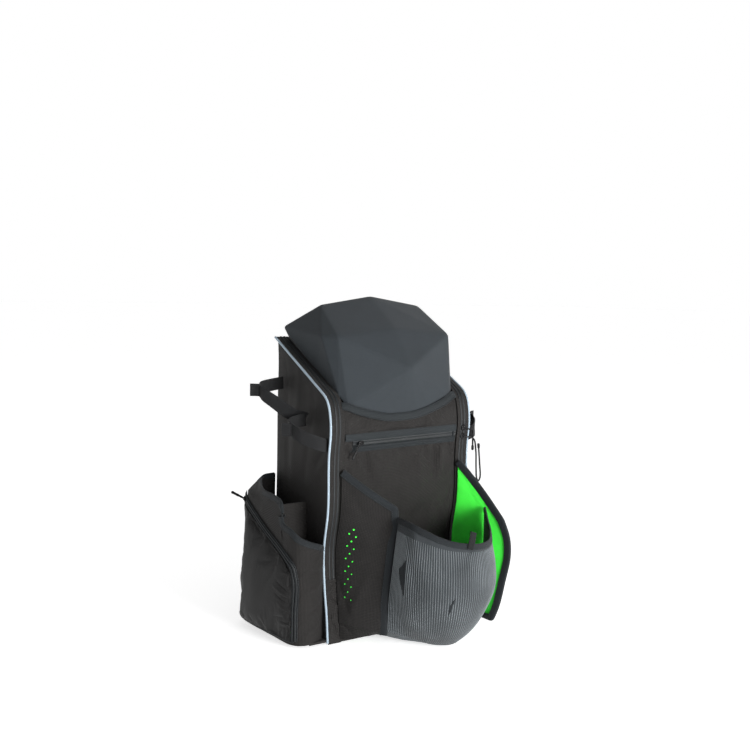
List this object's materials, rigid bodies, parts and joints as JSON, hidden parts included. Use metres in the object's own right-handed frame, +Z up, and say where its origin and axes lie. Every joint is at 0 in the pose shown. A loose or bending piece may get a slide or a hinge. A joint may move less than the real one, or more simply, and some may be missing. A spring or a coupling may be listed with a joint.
{
  "type": "baseball bat backpack",
  "caption": "Upright sports backpack with moulded faceted lid, open bat sleeves and elastic straps on both sides, zip pockets and a mesh helmet carrier between padded wings",
  "frame": {"origin": "on the floor under the main body, level with its base", "axes": "+Z up, -Y toward the front with the helmet carrier, +X to the right seen from the front"},
  "size_m": [0.4606, 0.4095, 0.587],
  "materials": {
    "cloth": "black ripstop polyester with a fine diagonal pattern",
    "wing_cloth": "black ripstop outside, bright green lining inside",
    "moulded_lid": "smooth matt cloth over moulded foam",
    "tape": "dark slate binding and zip tape",
    "webbing": "black woven elastic and webbing",
    "piping": "pale reflective piping",
    "stretch_mesh": "dark grey stretch mesh with pale upright threads",
    "back_mesh": "black padded air mesh",
    "pulls": "black moulded sliders and cord pulls",
    "buckles": "black moulded plastic"
  },
  "bodies": {
    "root": {"body_shell": "cloth", "front_panel": "cloth", "dome_shell": "moulded_lid", "dome_rim": "tape", "main_zip_left": "tape", "main_zip_right": "tape", "piping_left": "piping", "piping_right": "piping", "front_zip": "tape", "front_slider": "pulls", "front_pull": "pulls", "bat_sleeve_left": "cloth", "bat_sleeve_right": "cloth", "sleeve_binding_left": "tape", "sleeve_binding_right": "tape", "pocket_panel_left": "cloth", "pocket_panel_right": "cloth", "pocket_zip_left": "tape", "pocket_zip_right": "tape", "pocket_slider_left": "pulls", "pocket_slider_right": "pulls", "pocket_pull_left": "pulls", "pocket_pull_right": "pulls", "bat_strap_left": "webbing", "bat_strap_right": "webbing", "strap_tab_front_left": "webbing", "strap_tab_rear_left": "webbing", "strap_tab_front_right": "webbing", "strap_tab_rear_right": "webbing", "wing_left": "wing_cloth", "wing_right": "wing_cloth", "wing_binding_left": "tape", "wing_binding_right": "tape", "wing_gusset_left": "cloth", "mesh_pouch": "stretch_mesh", "mesh_binding": "tape", "pouch_tab": "webbing", "main_slider_upper": "pulls", "main_slider_lower": "pulls", "main_pull_upper": "pulls", "main_pull_lower": "pulls", "back_pad": "back_mesh", "shoulder_strap_left": "back_mesh", "shoulder_strap_right": "back_mesh", "strap_webbing_left": "webbing", "strap_webbing_right": "webbing", "strap_adjuster_left": "buckles", "strap_adjuster_right": "buckles", "haul_loop": "webbing"}
  },
  "joints": []
}
